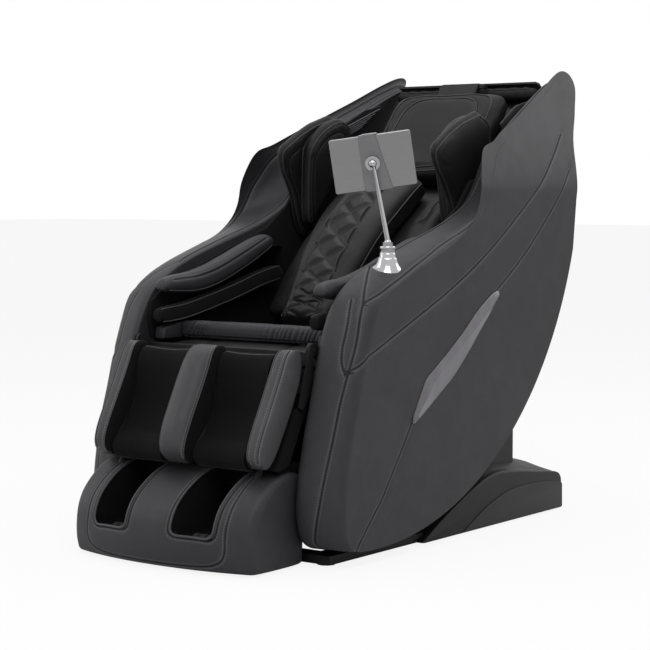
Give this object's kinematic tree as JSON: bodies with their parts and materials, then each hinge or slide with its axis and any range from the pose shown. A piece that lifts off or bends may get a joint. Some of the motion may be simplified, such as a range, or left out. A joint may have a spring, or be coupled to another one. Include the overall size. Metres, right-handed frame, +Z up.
{
  "type": "massage chair",
  "caption": "Full-body massage chair with a rocking recline, lifting leg rest, sliding foot unit, hanging back pad, arm slots and a tablet on a pole.",
  "frame": {"origin": "on the floor, midway between the side panels and midway between the front and rear feet", "axes": "+Z up, the sitter looks along -Y, +X to the sitter's left"},
  "size_m": [0.77, 1.43, 1.1662],
  "materials": {
    "charcoal_leather": "satin",
    "dark_leather": "satin",
    "black_fabric": "matt",
    "frame_steel": "satin",
    "bright_steel": "polished",
    "brushed": "brushed",
    "blade_trim": "gloss",
    "grey_plastic": "matt",
    "roller_rubber": "matt",
    "plywood": "matt",
    "screen_glass": "gloss"
  },
  "bodies": {
    "base": {"base_frame": "frame_steel", "base_feet": "roller_rubber", "base_casing": "grey_plastic", "pedestal_cover": "grey_plastic", "power_box": "grey_plastic"},
    "power_switch": {"power_switch": "grey_plastic"},
    "front_rollers": {"front_rollers": "roller_rubber"},
    "rear_rollers": {"rear_rollers": "roller_rubber"},
    "wheel_left": {"wheel_left": "roller_rubber"},
    "wheel_right": {"wheel_right": "roller_rubber"},
    "recline_tube": {"recline_tube": "frame_steel"},
    "recline_rod": {"recline_rod": "bright_steel"},
    "upper_body": {"body_frame": "frame_steel", "rocker_webs": "frame_steel", "boards": "plywood", "back_cover": "charcoal_leather", "side_panel_left": "charcoal_leather", "side_panel_right": "charcoal_leather", "blade_left": "blade_trim", "blade_right": "blade_trim", "inner_liners": "black_fabric", "arm_leaf_left": "charcoal_leather", "arm_leaf_right": "charcoal_leather", "arm_tray_left": "dark_leather", "arm_tray_right": "dark_leather", "shoulder_wing_left": "dark_leather", "shoulder_wing_right": "dark_leather", "speakers": "brushed", "seat_cushion": "dark_leather", "seat_roll": "charcoal_leather", "back_cushion": "dark_leather", "back_pad": "charcoal_leather", "air_pump": "grey_plastic", "control_box": "grey_plastic", "track_rods": "bright_steel", "stand_foot": "bright_steel"},
    "head_pillow": {"head_pillow": "dark_leather"},
    "carriage": {"carriage": "brushed"},
    "knead_arm_left": {"knead_arm_left": "brushed"},
    "knead_arm_right": {"knead_arm_right": "brushed"},
    "massage_roller_left": {"massage_roller_left": "roller_rubber"},
    "massage_roller_right": {"massage_roller_right": "roller_rubber"},
    "leg_rest": {"leg_frame": "frame_steel", "calf_shell": "charcoal_leather", "calf_pad_left": "charcoal_leather", "calf_pad_middle": "charcoal_leather", "calf_pad_right": "charcoal_leather", "calf_liners": "black_fabric"},
    "leg_drive_tube": {"leg_drive_tube": "frame_steel"},
    "leg_drive_rod": {"leg_drive_rod": "bright_steel"},
    "foot_unit": {"foot_frame": "bright_steel", "foot_shell": "charcoal_leather", "foot_liners": "black_fabric"},
    "foot_roller_front": {"foot_roller_front": "roller_rubber"},
    "foot_roller_rear": {"foot_roller_rear": "roller_rubber"},
    "stand_pole": {"stand_pole": "bright_steel"},
    "tablet_socket": {"tablet_socket": "bright_steel"},
    "tablet": {"tablet_holder": "brushed", "tablet_case": "brushed", "tablet_screen": "screen_glass"}
  },
  "joints": [
    {"name": "recline", "type": "hinge", "parent": "base", "child": "upper_body", "pos_m": [0, -0.35, 0.967], "axis": [-1, 0, 0], "range_deg": [0, 22]},
    {"name": "front_roller_spin", "type": "hinge", "parent": "base", "child": "front_rollers", "pos_m": [0, -0.08755, 0.05174], "axis": [-1, 0, 0], "range_deg": [-935, 5]},
    {"name": "rear_roller_spin", "type": "hinge", "parent": "base", "child": "rear_rollers", "pos_m": [0, 0.31142, 0.28208], "axis": [-1, 0, 0], "range_deg": [-935, 5]},
    {"name": "wheel_left_spin", "type": "hinge", "parent": "base", "child": "wheel_left", "pos_m": [0.262, 0.521, 0.032], "axis": [1, 0, 0], "continuous": true},
    {"name": "wheel_right_spin", "type": "hinge", "parent": "base", "child": "wheel_right", "pos_m": [-0.262, 0.521, 0.032], "axis": [1, 0, 0], "continuous": true},
    {"name": "power_switch_rock", "type": "hinge", "parent": "base", "child": "power_switch", "pos_m": [0.215, 0.559, 0.055], "axis": [1, 0, 0], "range_deg": [0, 16]},
    {"name": "recline_drive_swing", "type": "hinge", "parent": "base", "child": "recline_tube", "pos_m": [0, -0.41, 0.102], "axis": [-1, 0, 0], "range_deg": [0, 8.8]},
    {"name": "recline_drive_stroke", "type": "slide", "parent": "recline_tube", "child": "recline_rod", "axis": [0, 0.9132, 0.4074], "range_m": [-0.304, 0]},
    {"name": "head_pillow_lift", "type": "hinge", "parent": "upper_body", "child": "head_pillow", "pos_m": [0, 0.59, 1.129], "axis": [-1, 0, 0], "range_deg": [0, 60]},
    {"name": "massage_travel", "type": "slide", "parent": "upper_body", "child": "carriage", "axis": [0, 0.7284, 0.6852], "range_m": [0, 0.25]},
    {"name": "knead_left", "type": "hinge", "parent": "carriage", "child": "knead_arm_left", "pos_m": [0.06, 0.21695, 0.56456], "axis": [0, 0.7284, 0.6852], "range_deg": [-12, 12]},
    {"name": "knead_right", "type": "hinge", "parent": "carriage", "child": "knead_arm_right", "pos_m": [-0.06, 0.21695, 0.56456], "axis": [0, 0.7284, 0.6852], "range_deg": [-12, 12]},
    {"name": "massage_roller_left_spin", "type": "hinge", "parent": "knead_arm_left", "child": "massage_roller_left", "pos_m": [0.06, 0.19091, 0.59224], "axis": [1, 0, 0], "continuous": true},
    {"name": "massage_roller_right_spin", "type": "hinge", "parent": "knead_arm_right", "child": "massage_roller_right", "pos_m": [-0.06, 0.19091, 0.59224], "axis": [1, 0, 0], "continuous": true},
    {"name": "leg_rest_lift", "type": "hinge", "parent": "upper_body", "child": "leg_rest", "pos_m": [0, -0.44, 0.487], "axis": [-1, 0, 0], "range_deg": [0, 55]},
    {"name": "leg_drive_swing", "type": "hinge", "parent": "upper_body", "child": "leg_drive_tube", "pos_m": [0.1, -0.06, 0.317], "axis": [-1, 0, 0], "range_deg": [0, 2.5]},
    {"name": "leg_drive_stroke", "type": "slide", "parent": "leg_drive_tube", "child": "leg_drive_rod", "axis": [0, -0.9697, 0.2443], "range_m": [0, 0.067]},
    {"name": "foot_rest_slide", "type": "slide", "parent": "leg_rest", "child": "foot_unit", "axis": [0, -0.4672, -0.8842], "range_m": [0, 0.12]},
    {"name": "foot_roller_front_spin", "type": "hinge", "parent": "foot_unit", "child": "foot_roller_front", "pos_m": [0, -0.628, 0.061], "axis": [1, 0, 0], "continuous": true},
    {"name": "foot_roller_rear_spin", "type": "hinge", "parent": "foot_unit", "child": "foot_roller_rear", "pos_m": [0, -0.545, 0.061], "axis": [1, 0, 0], "continuous": true},
    {"name": "stand_swivel", "type": "hinge", "parent": "upper_body", "child": "stand_pole", "pos_m": [0.33, -0.24, 0.7173], "axis": [0, 0, 1], "range_deg": [-90, 90]},
    {"name": "tablet_tilt", "type": "hinge", "parent": "stand_pole", "child": "tablet_socket", "pos_m": [0.302, -0.262, 0.907], "axis": [0.8387, 0.5446, 0], "range_deg": [-8, 25]},
    {"name": "tablet_turn", "type": "hinge", "parent": "tablet_socket", "child": "tablet", "pos_m": [0.302, -0.262, 0.907], "axis": [-0.5393, 0.8305, 0.1392], "range_deg": [-90, 90]}
  ],
  "couplings": [
    {"joint": "front_roller_spin", "follows": "recline", "ratio": -42.273},
    {"joint": "rear_roller_spin", "follows": "recline", "ratio": -42.273},
    {"joint": "recline_drive_swing", "follows": "recline", "ratio": 0.39231},
    {"joint": "recline_drive_stroke", "follows": "recline", "m_per_rad": -0.78765},
    {"joint": "knead_right", "follows": "knead_left", "ratio": -1},
    {"joint": "leg_drive_swing", "follows": "leg_rest_lift", "ratio": 0.03696},
    {"joint": "leg_drive_stroke", "follows": "leg_rest_lift", "m_per_rad": 0.06881}
  ]
}
